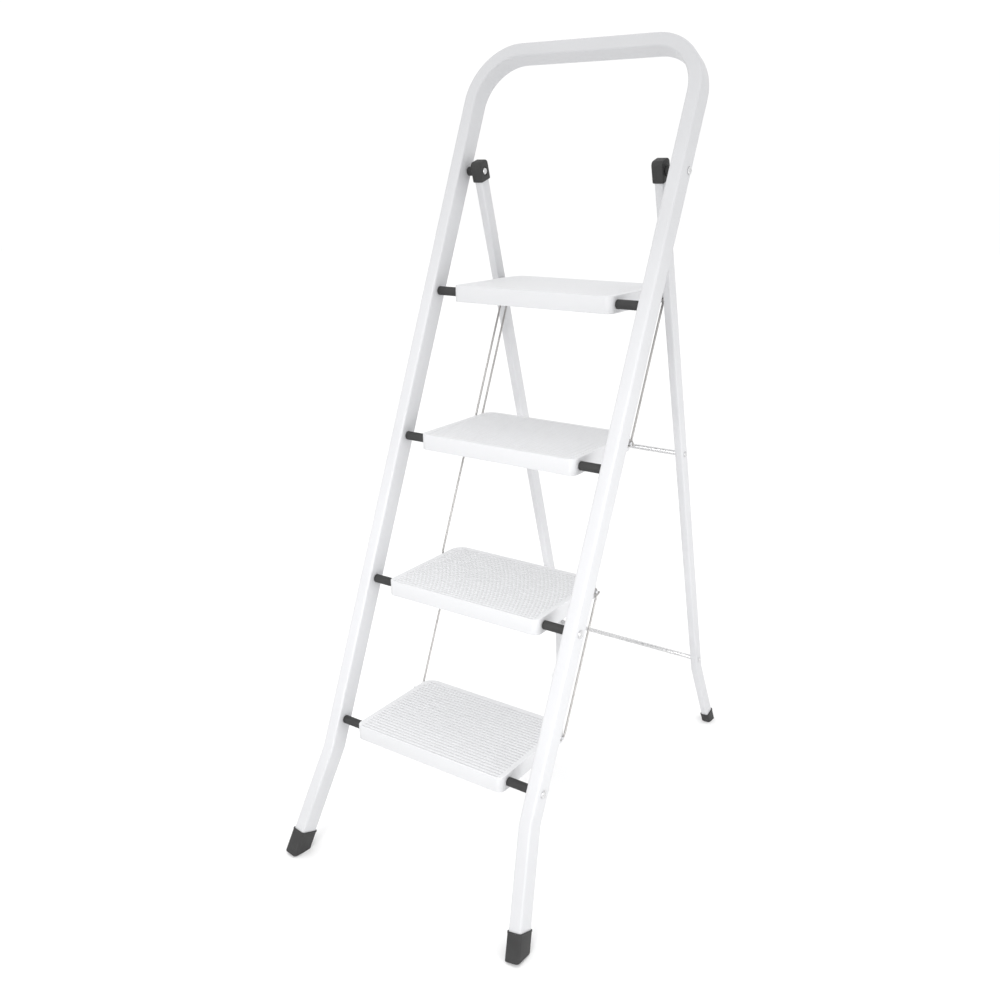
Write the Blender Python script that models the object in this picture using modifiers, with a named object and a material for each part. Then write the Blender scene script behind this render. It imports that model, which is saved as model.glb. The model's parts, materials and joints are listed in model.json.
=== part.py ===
"""Platform step ladder with four folding treads, a hand rail bar and a hinged rear frame.

Metres, +Z up, front toward -Y. The origin is the middle of the footprint, on the floor.
The front frame and the rear frame each have a local frame of their own: x across the ladder,
y along the tube, z square to it on its front side.
"""

import math

import bmesh
import bpy
from mathutils import Matrix, Vector

# Driving dimensions
FRONT_LEAN = math.radians(23.3)  # front rails, back from vertical
REAR_LEAN = math.radians(17.1)  # rear legs, back from vertical
TREAD_PITCH = 0.250  # between axles, along the rail
FIRST_AXLE = 0.252  # floor to the lowest axle, along the rail
TREAD_NAMES = ("tread_1", "tread_2", "tread_3", "platform")
GAP = 0.0003  # clearance between touching pieces
CUT = 0.01  # how far a cutter runs past the piece it cuts

# Front frame: rectangular tube bent to an inverted U
RAIL_X = 0.2015
RAIL_WIDTH = 0.022
RAIL_DEPTH = 0.0344
RAIL_WALL = 0.0014
RAIL_EDGE = 0.0035  # radius of the tube's long edges
BAR_HEIGHT = 1.398  # hand rail bar's centre line, along the rail
BAR_CORNER = 0.080
FRONT_SPLAY_START = 0.200
FRONT_FOOT_X = 0.2315
SPLAY_RADIUS = 0.060
FOOT_FLOOR = 0.010  # height of a tube's lower end inside its foot
TUBE_END = 0.03  # tubes are drawn this far past the floor, then cut level
BLIND_HOLE = 0.004  # axle hole past the rail's inner wall
BLIND_AXLE = 0.003

# Rear frame
HINGE_ALONG = 1.209
HINGE_BACK = 0.008  # hinge axis behind the rail's centre line
LEG_X = 0.1665
LEG_WIDTH = 0.015
LEG_DEPTH = 0.022
LEG_WALL = 0.0013
LEG_EDGE = 0.003
LEG_TOP = 0.012  # leg above the hinge axis
REAR_SPLAY_START = 1.012  # below the hinge, along the leg
REAR_FOOT_X = 0.186
UPPER_BAR_DROP = 0.4924
LOWER_BAR_DROP = 0.9869
CROSSBAR_RADIUS = 0.0045
CROSSBAR_NECK = 0.0032  # where it passes through a leg
CROSSBAR_HEAD = (0.0050, 0.0022)  # radius and height
SLIDE_BAR_DROP = 0.2045
SLIDE_BAR_BACK = 0.0023
SLIDE_BAR_RADIUS = 0.003

# Treads
TREAD_HALF = 0.1482
TREAD_FRONT = 0.019  # ahead of the axle
TREAD_BACK = 0.181  # behind the axle
TREAD_TOP = 0.0128  # above the axle
TREAD_SKIRT = 0.0137  # below the axle
TREAD_WALL = 0.0028
FRONT_CORNER = 0.012
REAR_CORNER = 0.022
TOP_ROUND = 0.003
STIFFENERS = (-0.075, 0, 0.075)  # x of the ribs underneath
STIFFENER_LIFT = 0.001  # above the skirt's lower edge
NOTCH_SLOPE = math.radians(38)  # the way the slide bar leaves the platform
NOTCH_LENGTH = 0.02

# Axles, spacers and hinge
AXLE_RADIUS = 0.004
SPACER_RADIUS = 0.0073
SPACER_EDGE = 0.0012  # chamfer on both ends
RIVETED_TREADS = ("tread_1", "tread_2")  # axle heads show outside the rails
AXLE_HEAD = (0.0068, 0.0028)  # radius and height
HINGE_PIN_RADIUS = 0.0032
PIN_INNER_HEAD = (0.0056, 0.0026)
PIN_OUTER_HEAD = (0.0062, 0.0024)
COLLAR_RADIUS = 0.0073
CAP_WALL = 0.0018
CAP_DOWN = 0.0155  # cap below the hinge axis
CAP_UP = 0.0168
CAP_ROUND = 0.007

# Links
LINK_LANES = (0.1512, 0.1553, 0.1512)  # x of each pair, from the lowest: neighbours share a rod
LINK_FACING = (1, -1, 1)  # the straight part runs behind its rods (1) or in front of them (-1)
LINK_WIRE = 0.0018  # wire radius
HOOK_BEND = 0.0125  # radius of the hooked ends
LOOP_BEND = 0.0095  # radius of the closed loops' ends
LINK_BACK = 0.002  # hooks sit this far behind the rod's axis
ROD_BACK = 0.150  # link rod behind the axle
ROD_UP = 0.003  # link rod above the axle
ROD_RADIUS = 0.0025
HOOK_TAIL = 0.003  # straight end of a hooked wire
ROD_OVERHANG = 0.0014  # rod past the outermost wire

# Feet. A front foot's sole rises toward its toe and its outer side, and is cut level where it
# meets the floor
FOOT_WALL = 0.0015
FRONT_FOOT_HEIGHT = 0.043
REAR_FOOT_HEIGHT = 0.024
SOLE_RISE = 0.00175  # sole above the floor, at the middle of a front foot
TOE_SLOPE = math.radians(8)
SIDE_SLOPE = math.radians(9)

HINGE_HEIGHT = HINGE_ALONG * math.cos(FRONT_LEAN) - HINGE_BACK * math.sin(FRONT_LEAN)
HINGE_REACH = HINGE_ALONG * math.sin(FRONT_LEAN) + HINGE_BACK * math.cos(FRONT_LEAN)
REAR_REACH = HINGE_REACH + HINGE_HEIGHT * math.tan(REAR_LEAN)
FOOT_REACH = (RAIL_DEPTH / 2 + GAP + FOOT_WALL) / math.cos(FRONT_LEAN)
TOE_HEIGHT = (
    SOLE_RISE
    + FOOT_REACH * math.tan(TOE_SLOPE)
    - (RAIL_WIDTH / 2 - RAIL_EDGE) * math.tan(SIDE_SLOPE)
)
FRONT_EDGE = TOE_HEIGHT * math.tan(FRONT_LEAN) - FOOT_REACH
REAR_EDGE = REAR_REACH + (LEG_DEPTH / 2 + GAP + FOOT_WALL) / math.cos(REAR_LEAN)
ORIGIN_Y = (FRONT_EDGE + REAR_EDGE) / 2

RAIL_FRAME = Matrix.Translation((0, -ORIGIN_Y, 0)) @ Matrix.Rotation(
    math.pi / 2 - FRONT_LEAN, 4, "X"
)
HINGE_POINT = Vector((0, HINGE_REACH - ORIGIN_Y, HINGE_HEIGHT))
LEG_FRAME = Matrix.Translation(HINGE_POINT) @ Matrix.Rotation(
    math.pi / 2 + REAR_LEAN, 4, "X"
)
ALONG_X = Matrix.Rotation(math.pi / 2, 4, "Y")  # turns local Z to world X

SIDES = {"left": -1, "right": 1}
SEGMENTS = 12


def clear_scene():
    for obj in list(bpy.data.objects):
        bpy.data.objects.remove(obj, do_unlink=True)


def new_collection(name, helper=False):
    collection = bpy.data.collections.new(name)
    bpy.context.scene.collection.children.link(collection)
    collection.hide_render = helper
    return collection


clear_scene()
LADDER = new_collection("platform_step_ladder")
CUTTERS = new_collection("cutters", helper=True)


def material(name, colour, roughness, metallic):
    made = bpy.data.materials.new(name)
    made.use_nodes = True
    shader = made.node_tree.nodes["Principled BSDF"]
    shader.inputs["Base Color"].default_value = (*colour, 1)
    shader.inputs["Roughness"].default_value = roughness
    shader.inputs["Metallic"].default_value = metallic
    return made


WHITE_PAINT = ((0.84, 0.85, 0.86), 0.45, 0.0)
WHITE_PLASTIC = ((0.80, 0.81, 0.82), 0.55, 0.0)
BLACK_PLASTIC = ((0.035, 0.035, 0.038), 0.55, 0.0)
ZINC = ((0.60, 0.60, 0.62), 0.30, 1.0)


def place(obj, matrix, finish=None, parent=None):
    """Puts an object at a world matrix and, if it is a part, gives it its own material."""
    obj.matrix_world = matrix
    if finish is None:
        obj.display_type = "WIRE"
        obj.hide_render = True
    else:
        obj.data.materials.clear()
        obj.data.materials.append(material(obj.name + "_finish", *finish))
    if parent is not None:
        obj.parent = parent
        obj.matrix_parent_inverse = Matrix.Translation(parent.location).inverted()
    return obj


def pivot(name, location):
    empty = bpy.data.objects.new(name, None)
    empty.location = location
    LADDER.objects.link(empty)
    return empty


def object_of(name, mesh, collection):
    obj = bpy.data.objects.new(name, mesh)
    collection.objects.link(obj)
    return obj


def shade(mesh):
    mesh.shade_smooth()
    mesh.set_sharp_from_angle(angle=math.radians(35))


def box(name, low, high, collection=CUTTERS):
    """A box from its lowest to its highest corner, in local coordinates."""
    shape = bmesh.new()
    bmesh.ops.create_cube(shape, size=1)
    size = Vector(high) - Vector(low)
    bmesh.ops.scale(shape, vec=size, verts=shape.verts)
    bmesh.ops.translate(shape, vec=(Vector(low) + Vector(high)) / 2, verts=shape.verts)
    mesh = bpy.data.meshes.new(name)
    shape.to_mesh(mesh)
    shape.free()
    return object_of(name, mesh, collection)


def cylinder(name, radius, length):
    """A cylinder along local Z, centred."""
    shape = bmesh.new()
    bmesh.ops.create_cone(
        shape,
        cap_ends=True,
        segments=SEGMENTS,
        radius1=radius,
        radius2=radius,
        depth=length,
    )
    mesh = bpy.data.meshes.new(name)
    shape.to_mesh(mesh)
    shape.free()
    shade(mesh)
    return object_of(name, mesh, CUTTERS)


def turned(name, profile, closed=False):
    """A profile of (radius, height) points turned about local Z. It runs down the outer side."""
    mesh = bpy.data.meshes.new(name)
    last = len(profile)
    edges = [(i, i + 1) for i in range(last - 1)] + ([(last - 1, 0)] if closed else [])
    mesh.from_pydata([(radius, 0, height) for radius, height in profile], edges, [])
    obj = object_of(name, mesh, LADDER)
    screw = obj.modifiers.new("turn", "SCREW")
    screw.steps = SEGMENTS
    screw.render_steps = SEGMENTS
    screw.use_merge_vertices = True
    screw.merge_threshold = 0.00001
    screw.use_smooth_shade = True
    return obj


def boolean(target, other, operation="DIFFERENCE"):
    step = target.modifiers.new(other.name, "BOOLEAN")
    step.object = other
    step.operation = operation
    step.solver = "EXACT"


def arc(centre, radius, start, end, steps):
    """Points on an arc in the XY plane, angles in degrees, both ends included."""
    points = []
    for i in range(steps + 1):
        angle = math.radians(start + (end - start) * i / steps)
        points.append(
            (
                centre[0] + radius * math.cos(angle),
                centre[1] + radius * math.sin(angle),
            )
        )
    return points


def poly_curve(name, points, collection, closed=False):
    curve = bpy.data.curves.new(name, "CURVE")
    curve.dimensions = "2D"
    curve.fill_mode = "NONE"
    spline = curve.splines.new("POLY")
    spline.points.add(len(points) - 1)
    for point, (x, y) in zip(spline.points, points):
        point.co = (x, y, 0, 1)
    spline.use_cyclic_u = closed
    return object_of(name, curve, collection)


def rounded_rectangle(width, depth, radius, steps=2):
    x, y = width / 2 - radius, depth / 2 - radius
    return (
        arc((x, y), radius, 0, 90, steps)
        + arc((-x, y), radius, 90, 180, steps)
        + arc((-x, -y), radius, 180, 270, steps)
        + arc((x, -y), radius, 270, 360, steps)
    )


def swept_tube(name, path, width, depth, radius, collection):
    """A solid bar of rounded rectangular section along a flat path, as a welded mesh."""
    profile = poly_curve(
        name + "_section", rounded_rectangle(width, depth, radius), CUTTERS, True
    )
    profile.hide_render = True
    curve = poly_curve(name + "_path", path, CUTTERS)
    curve.data.bevel_mode = "OBJECT"
    curve.data.bevel_object = profile
    curve.data.use_fill_caps = True
    graph = bpy.context.evaluated_depsgraph_get()
    mesh = bpy.data.meshes.new_from_object(curve.evaluated_get(graph))
    mesh.name = name
    shape = bmesh.new()
    shape.from_mesh(mesh)
    bmesh.ops.remove_doubles(shape, verts=shape.verts, dist=0.00001)
    bmesh.ops.recalc_face_normals(shape, faces=shape.faces)
    shape.to_mesh(mesh)
    shape.free()
    shade(mesh)
    bpy.data.objects.remove(curve, do_unlink=True)
    bpy.data.objects.remove(profile, do_unlink=True)
    return object_of(name, mesh, collection)


def hollow_tube(name, path, inner_path, width, depth, wall, radius, frame, parent=None):
    tube = swept_tube(name, path, width, depth, radius, LADDER)
    place(tube, frame, WHITE_PAINT, parent)
    core = swept_tube(
        name + "_core",
        inner_path,
        width - 2 * wall,
        depth - 2 * wall,
        radius - wall,
        CUTTERS,
    )
    place(core, frame)
    boolean(tube, core)
    return tube


def cut_below_floor(obj, height):
    """Trims an object level with the floor, at this height."""
    reach = 0.6
    slab = box(obj.name + "_floor_cut", (-reach, -reach, -reach), (reach, reach, height))
    place(slab, Matrix.Identity(4))
    boolean(obj, slab)


def drill(obj, matrix, radius, length, name):
    tool = cylinder(f"{obj.name}_{name}", radius, length)
    place(tool, matrix @ ALONG_X)
    boolean(obj, tool)


def axle_along(index):
    return FIRST_AXLE + TREAD_PITCH * index


def axle_matrix(index):
    return Matrix.Translation(RAIL_FRAME @ Vector((0, axle_along(index), 0)))


def splayed_leg_points(x, foot_x, start, reach):
    """Right-hand leg from its far end, past the floor, up to the top of its splay bend."""
    radius, steps = SPLAY_RADIUS, 4
    slope = math.atan2(foot_x - x, start)
    half = radius * math.tan(slope / 2)
    corner = Vector((x, start))
    down = Vector((math.sin(slope), -math.cos(slope)))
    foot = corner + down * reach
    centre = (x + radius, start + half)
    turn = arc(centre, radius, 180 + math.degrees(slope), 180, steps)
    return [tuple(foot)] + turn


def front_path(extra):
    """Left leg, hand rail bar and right leg, in the rail frame."""
    right = splayed_leg_points(
        RAIL_X, FRONT_FOOT_X, FRONT_SPLAY_START, FRONT_SPLAY_START + extra
    )
    centre = (RAIL_X - BAR_CORNER, BAR_HEIGHT - BAR_CORNER)
    right += arc(centre, BAR_CORNER, 0, 90, 9)
    left = [(-x, y) for x, y in reversed(right)]
    return right + left


def front_frame():
    frame = hollow_tube(
        "front_frame",
        front_path(TUBE_END),
        front_path(TUBE_END + CUT),
        RAIL_WIDTH,
        RAIL_DEPTH,
        RAIL_WALL,
        RAIL_EDGE,
        RAIL_FRAME,
    )
    cut_below_floor(frame, FOOT_FLOOR)
    inner_wall = 2 * (RAIL_X - RAIL_WIDTH / 2 + RAIL_WALL + BLIND_HOLE)
    outer_wall = 2 * (RAIL_X + RAIL_WIDTH)
    for index, name in enumerate(TREAD_NAMES):
        length = outer_wall if name in RIVETED_TREADS else inner_wall
        drill(frame, axle_matrix(index), AXLE_RADIUS + GAP, length, f"hole_{name}")
    hinge = Matrix.Translation(HINGE_POINT)
    drill(frame, hinge, HINGE_PIN_RADIUS + GAP, outer_wall, "hinge_hole")


def tilted_sole(sleeve, side):
    """Cuts a front foot's sole along a plane that rises toward its toe and its outer side."""
    reach = 0.06
    slab = box(f"{sleeve.name}_sole_cut", (-reach, -reach, -reach), (reach, reach, 0))
    middle = RAIL_FRAME @ Vector((side * FRONT_FOOT_X, 0, 0)) + Vector((0, 0, SOLE_RISE))
    tilt = Matrix.Rotation(-side * SIDE_SLOPE, 4, "Y") @ Matrix.Rotation(-TOE_SLOPE, 4, "X")
    place(slab, Matrix.Translation(middle) @ tilt)
    boolean(sleeve, slab)


def foot(name, side, tube, frame, parent=None):
    """A sleeve on the splayed end of a tube, cut level at the floor.

    The tube is (x, foot x, splay start, width, depth, edge radius, sleeve height).
    """
    x, foot_x, start, width, depth, radius, height = tube
    slope = math.atan2(foot_x - x, start)
    away = Vector((math.sin(slope), -math.cos(slope)))
    length = start / math.cos(slope)
    corner = Vector((x, start))
    toe = corner + away * (length + TUBE_END)
    top = corner + away * (length - height)
    above = corner + away * (length - height - CUT)
    outer = 2 * (GAP + FOOT_WALL)
    sleeve_path = [(side * p.x, p.y) for p in (toe, top)]
    sleeve = swept_tube(
        name, sleeve_path, width + outer, depth + outer, radius + outer / 2, LADDER
    )
    place(sleeve, frame, BLACK_PLASTIC, parent)
    socket_path = [(side * p.x, p.y) for p in (toe, above)]
    socket = swept_tube(
        name + "_socket", socket_path, width + 2 * GAP, depth + 2 * GAP, radius, CUTTERS
    )
    place(socket, frame)
    cut_below_floor(socket, FOOT_FLOOR - GAP)
    boolean(sleeve, socket)
    cut_below_floor(sleeve, 0)
    return sleeve


def front_feet():
    tube = (
        RAIL_X,
        FRONT_FOOT_X,
        FRONT_SPLAY_START,
        RAIL_WIDTH,
        RAIL_DEPTH,
        RAIL_EDGE,
        FRONT_FOOT_HEIGHT,
    )
    for label, side in SIDES.items():
        sleeve = foot(f"front_foot_{label}", side, tube, RAIL_FRAME)
        tilted_sole(sleeve, side)


def end_profile(radius, head):
    """One end of a rod, from its axis outward. A head is (radius, height), or None if flat."""
    if head is None:
        return [(0, 0), (radius, 0)]
    head_radius, rise = head
    dome = [(0, rise), (head_radius * 0.6, rise * 0.8), (head_radius, rise * 0.3)]
    return dome + [(head_radius, 0), (radius, 0)]


def headed_rod(name, radius, low, high, heads, finish, matrix, parent=None):
    """A rod along world X from low to high, with its low and high heads."""
    low_head, high_head = heads
    profile = [(r, high + h) for r, h in end_profile(radius, high_head)]
    profile += [(r, low - h) for r, h in reversed(end_profile(radius, low_head))]
    rod = turned(name, profile)
    return place(rod, matrix @ ALONG_X, finish, parent)


def step_axles():
    outside = RAIL_X + RAIL_WIDTH / 2 + GAP
    blind = RAIL_X - RAIL_WIDTH / 2 + RAIL_WALL + BLIND_AXLE
    for index, name in enumerate(TREAD_NAMES):
        riveted = name in RIVETED_TREADS
        end = outside if riveted else blind
        head = AXLE_HEAD if riveted else None
        headed_rod(
            f"step_axle_{name}", AXLE_RADIUS, -end, end, (head, head), ZINC, axle_matrix(index)
        )


def axle_spacers():
    inner = TREAD_HALF + GAP
    outer = RAIL_X - RAIL_WIDTH / 2 - GAP
    bore = AXLE_RADIUS + GAP
    profile = [
        (SPACER_RADIUS - SPACER_EDGE, outer),
        (SPACER_RADIUS, outer - SPACER_EDGE),
        (SPACER_RADIUS, inner + SPACER_EDGE),
        (SPACER_RADIUS - SPACER_EDGE, inner),
        (bore, inner),
        (bore, outer),
    ]
    for index, name in enumerate(TREAD_NAMES):
        for label, side in SIDES.items():
            spacer = turned(f"axle_spacer_{name}_{label}", profile, closed=True)
            turn = Matrix.Rotation(side * math.pi / 2, 4, "Y")
            place(spacer, axle_matrix(index) @ turn, BLACK_PLASTIC)


def hinge_pins_and_collars():
    hinge = Matrix.Translation(HINGE_POINT)
    outside = RAIL_X + RAIL_WIDTH / 2 + GAP
    inside = LEG_X - LEG_WIDTH / 2 - 2 * GAP - CAP_WALL
    cap_outside = LEG_X + LEG_WIDTH / 2 + 2 * GAP + CAP_WALL
    rail_inside = RAIL_X - RAIL_WIDTH / 2 - GAP
    bore = HINGE_PIN_RADIUS + GAP
    for label, side in SIDES.items():
        low, high = sorted((side * inside, side * outside))
        heads = (PIN_INNER_HEAD, PIN_OUTER_HEAD)[::side]
        headed_rod(f"hinge_pin_{label}", HINGE_PIN_RADIUS, low, high, heads, ZINC, hinge)
        profile = [
            (COLLAR_RADIUS, rail_inside),
            (COLLAR_RADIUS, cap_outside),
            (bore, cap_outside),
            (bore, rail_inside),
        ]
        collar = turned(f"hinge_collar_{label}", profile, closed=True)
        turn = Matrix.Rotation(side * math.pi / 2, 4, "Y")
        place(collar, hinge @ turn, BLACK_PLASTIC)


def rear_legs(parent):
    floor_drop = HINGE_HEIGHT / math.cos(REAR_LEAN)
    start = floor_drop - REAR_SPLAY_START
    for label, side in SIDES.items():
        paths = []
        for extra in (0, CUT):
            points = splayed_leg_points(LEG_X, REAR_FOOT_X, start, start + TUBE_END + extra)
            path = [(side * x, y - floor_drop) for x, y in points]
            paths.append(path + [(side * LEG_X, LEG_TOP + extra)])
        leg = hollow_tube(
            f"rear_leg_{label}",
            *paths,
            LEG_WIDTH,
            LEG_DEPTH,
            LEG_WALL,
            LEG_EDGE,
            LEG_FRAME,
            parent,
        )
        cut_below_floor(leg, FOOT_FLOOR)
        hinge = Matrix.Translation(HINGE_POINT)
        through = 2 * (LEG_X + LEG_WIDTH)
        drill(leg, hinge, HINGE_PIN_RADIUS + GAP, through, "hinge_hole")
        for drop in (UPPER_BAR_DROP, LOWER_BAR_DROP):
            drill(leg, bar_matrix(drop), CROSSBAR_NECK + GAP, through, f"bar_{drop}")
        drill(leg, slide_bar_matrix(), SLIDE_BAR_RADIUS + GAP, 2 * LEG_X, "slide_bar_hole")


def bar_matrix(drop, back=0.0):
    return Matrix.Translation(LEG_FRAME @ Vector((0, -drop, -back)))


def slide_bar_matrix():
    return bar_matrix(SLIDE_BAR_DROP, SLIDE_BAR_BACK)


def rear_feet(parent):
    floor_drop = HINGE_HEIGHT / math.cos(REAR_LEAN)
    frame = LEG_FRAME @ Matrix.Translation((0, -floor_drop, 0))
    tube = (
        LEG_X,
        REAR_FOOT_X,
        floor_drop - REAR_SPLAY_START,
        LEG_WIDTH,
        LEG_DEPTH,
        LEG_EDGE,
        REAR_FOOT_HEIGHT,
    )
    for label, side in SIDES.items():
        foot(f"rear_foot_{label}", side, tube, frame, parent)


def rear_bars(parent):
    inner = LEG_X - LEG_WIDTH / 2 - GAP
    outer = LEG_X + LEG_WIDTH / 2 + GAP
    half = [(r, outer + h) for r, h in end_profile(CROSSBAR_NECK, CROSSBAR_HEAD)]
    half += [(CROSSBAR_NECK, inner), (CROSSBAR_RADIUS, inner)]
    profile = half + [(radius, -height) for radius, height in reversed(half)]
    for label, drop in (("upper", UPPER_BAR_DROP), ("lower", LOWER_BAR_DROP)):
        bar = turned(f"rear_crossbar_{label}", profile)
        place(bar, bar_matrix(drop) @ ALONG_X, ZINC, parent)
    flat = (None, None)
    bar = slide_bar_matrix()
    headed_rod("slide_bar", SLIDE_BAR_RADIUS, -LEG_X, LEG_X, flat, ZINC, bar, parent)


def hinge_caps(parent):
    """Closed over the leg's top, open underneath, rounded over front to back."""
    half_width = LEG_WIDTH / 2 + GAP
    half_depth = LEG_DEPTH / 2 + GAP
    wall = CAP_WALL
    for label, side in SIDES.items():
        name = f"hinge_cap_{label}"
        middle = Matrix.Translation((side * LEG_X, 0, 0))
        low = (-half_width - wall, -CAP_DOWN, -half_depth - wall)
        high = (half_width + wall, CAP_UP, half_depth + wall)
        cap = box(name, low, high, LADDER)
        round_top(cap)
        place(cap, LEG_FRAME @ middle, BLACK_PLASTIC, parent)
        low = (-half_width, -CAP_DOWN - CUT, -half_depth)
        pocket = box(name + "_pocket", low, (half_width, LEG_TOP + GAP, half_depth))
        place(pocket, LEG_FRAME @ middle)
        boolean(cap, pocket)
        hinge = Matrix.Translation(HINGE_POINT)
        drill(cap, hinge, HINGE_PIN_RADIUS + GAP, 2 * (LEG_X + LEG_WIDTH), "hinge_hole")


def bevel_edges(obj, chosen, width, steps):
    """Rounds the edges for which chosen(edge middle, edge direction) holds."""
    shape = bmesh.new()
    shape.from_mesh(obj.data)
    edges = []
    for edge in shape.edges:
        first, second = (vert.co for vert in edge.verts)
        if chosen((first + second) / 2, (second - first).normalized()):
            edges.append(edge)
    bmesh.ops.bevel(
        shape, geom=edges, offset=width, segments=steps, profile=0.5, affect="EDGES"
    )
    shape.to_mesh(obj.data)
    shape.free()
    shade(obj.data)


def round_top(cap):
    def across_the_top(middle, direction):
        return abs(direction.x) > 0.9 and middle.y > 0

    bevel_edges(cap, across_the_top, CAP_ROUND, 4)


def tread_block(name, inset, low, high, collection):
    """The tread's outline, drawn in by an inset, as a block between two heights."""
    x = TREAD_HALF - inset
    block = box(
        name, (-x, -TREAD_FRONT + inset, low), (x, TREAD_BACK - inset, high), collection
    )

    def front_corner(middle, direction):
        return abs(direction.z) > 0.9 and middle.y < 0

    def rear_corner(middle, direction):
        return abs(direction.z) > 0.9 and middle.y > TREAD_BACK / 2

    bevel_edges(block, front_corner, FRONT_CORNER - inset, 3)
    bevel_edges(block, rear_corner, REAR_CORNER - inset, 4)
    return block


def tread(name, matrix, parent):
    """A moulded tread, hollow and ribbed underneath. Its origin is on its axle's axis."""
    block = tread_block(name, 0, -TREAD_SKIRT, TREAD_TOP, LADDER)

    def top_edge(middle, direction):
        return middle.z > TREAD_TOP - 0.0001 and abs(direction.z) < 0.1

    bevel_edges(block, top_edge, TOP_ROUND, 2)
    place(block, matrix, WHITE_PLASTIC, parent)
    under = TREAD_TOP - TREAD_WALL
    hollow = tread_block(f"{name}_hollow", TREAD_WALL, -TREAD_SKIRT - CUT, under, CUTTERS)
    place(hollow, matrix)
    for number, x in enumerate(STIFFENERS):
        reach = TREAD_WALL / 2
        rib = box(
            f"{name}_rib_{number}",
            (x - reach, -TREAD_FRONT, -TREAD_SKIRT + STIFFENER_LIFT),
            (x + reach, TREAD_BACK, under + CUT),
        )
        place(rib, matrix)
        boolean(hollow, rib)
    boolean(block, hollow)
    across = 2 * (TREAD_HALF + CUT)
    drill(block, matrix, AXLE_RADIUS + GAP, across, "axle_hole")
    rod = matrix @ Matrix.Translation((0, ROD_BACK, ROD_UP))
    drill(block, rod, ROD_RADIUS + GAP, across, "rod_hole")
    return block


def bar_notch(platform, matrix):
    """The slanted notch in the platform's sides and ribs that drops over the slide bar."""
    into_tread = matrix.inverted()
    clearance = SLIDE_BAR_RADIUS + 2 * GAP
    name = "platform_notch"
    start = into_tread @ slide_bar_matrix().translation
    width = 2 * (TREAD_HALF + CUT)
    hole = cylinder(name + "_seat", clearance, width)
    place(hole, matrix @ Matrix.Translation(start) @ ALONG_X)
    boolean(platform, hole)
    low = (-width / 2, -clearance, -NOTCH_LENGTH)
    slot = box(name + "_slot", low, (width / 2, clearance, 0))
    turn = Matrix.Rotation(-NOTCH_SLOPE, 4, "X")
    place(slot, matrix @ Matrix.Translation(start) @ turn)
    boolean(platform, slot)


def link_rod(name, matrix, parent):
    end = max(LINK_LANES) + LINK_WIRE + ROD_OVERHANG
    rod = matrix @ Matrix.Translation((0, ROD_BACK, ROD_UP))
    flat = (None, None)
    headed_rod(f"link_rod_{name}", ROD_RADIUS, -end, end, flat, WHITE_PAINT, rod, parent)


def wire(name, points, matrix, parent, closed):
    curve = poly_curve(name, points, LADDER, closed)
    curve.data.bevel_depth = LINK_WIRE
    curve.data.bevel_resolution = 2
    curve.data.use_fill_caps = not closed
    return place(curve, matrix, ZINC, parent)


def link_points(bend, facing, hooked):
    """A link between two rods a tread pitch apart, the lower rod at the origin.

    x runs to the back and y up the rail. The wire clears each rod by a small gap.
    """
    play = bend - LINK_WIRE - ROD_RADIUS - 2 * GAP
    rise = math.sqrt(play**2 - LINK_BACK**2)
    low = (LINK_BACK, rise)
    high = (LINK_BACK, TREAD_PITCH - rise)
    points = arc(low, bend, 180, 360, 8) + arc(high, bend, 0, 180, 8)
    if hooked:
        tail = LINK_BACK - bend
        points = [(tail, low[1] + HOOK_TAIL)] + points + [(tail, high[1] - HOOK_TAIL)]
    return [(LINK_BACK + facing * (x - LINK_BACK), y) for x, y in points]


def links(lower, parent):
    """The pair of wires between one tread and the next one up."""
    lower_name, upper_name = TREAD_NAMES[lower], TREAD_NAMES[lower + 1]
    kind = "link_loop" if upper_name == "platform" else "link_wire"
    rod = axle_matrix(lower) @ Matrix.Translation((0, ROD_BACK, ROD_UP))
    upright = Matrix(
        (
            (0, 0, 1, 0),
            (math.cos(FRONT_LEAN), math.sin(FRONT_LEAN), 0, 0),
            (-math.sin(FRONT_LEAN), math.cos(FRONT_LEAN), 0, 0),
            (0, 0, 0, 1),
        )
    )
    hooked = kind == "link_wire"
    points = link_points(HOOK_BEND if hooked else LOOP_BEND, LINK_FACING[lower], hooked)
    for label, side in SIDES.items():
        name = f"{kind}_{lower_name}_{upper_name}_{label}"
        at = Matrix.Translation((side * LINK_LANES[lower], 0, 0)) @ rod @ upright
        wire(name, points, at, parent, not hooked)


def build():
    front_frame()
    front_feet()
    step_axles()
    axle_spacers()
    hinge_pins_and_collars()
    rear = pivot("rear_frame_pivot", HINGE_POINT)
    rear_legs(rear)
    rear_feet(rear)
    rear_bars(rear)
    hinge_caps(rear)
    for index, name in enumerate(TREAD_NAMES):
        matrix = axle_matrix(index)
        axle = pivot(f"{name}_pivot", matrix.translation)
        block = tread(name, matrix, axle)
        if name == "platform":
            bar_notch(block, matrix)
        link_rod(name, matrix, axle)
    for lower in range(len(TREAD_NAMES) - 1):
        rod = axle_matrix(lower + 1) @ Vector((0, ROD_BACK, ROD_UP))
        links(lower, pivot(f"links_{TREAD_NAMES[lower]}_pivot", rod))


build()
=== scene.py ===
"""Looks for the folding platform step ladder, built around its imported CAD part.

Metres, in the part's own frame: +Z up, front toward -Y, the origin on the floor in the middle of
the footprint. Every detailed piece stands for one CAD node and rides on that node's body.
"""

import json
import math

import bmesh
import bpy
from mathutils import Matrix, Vector


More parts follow.
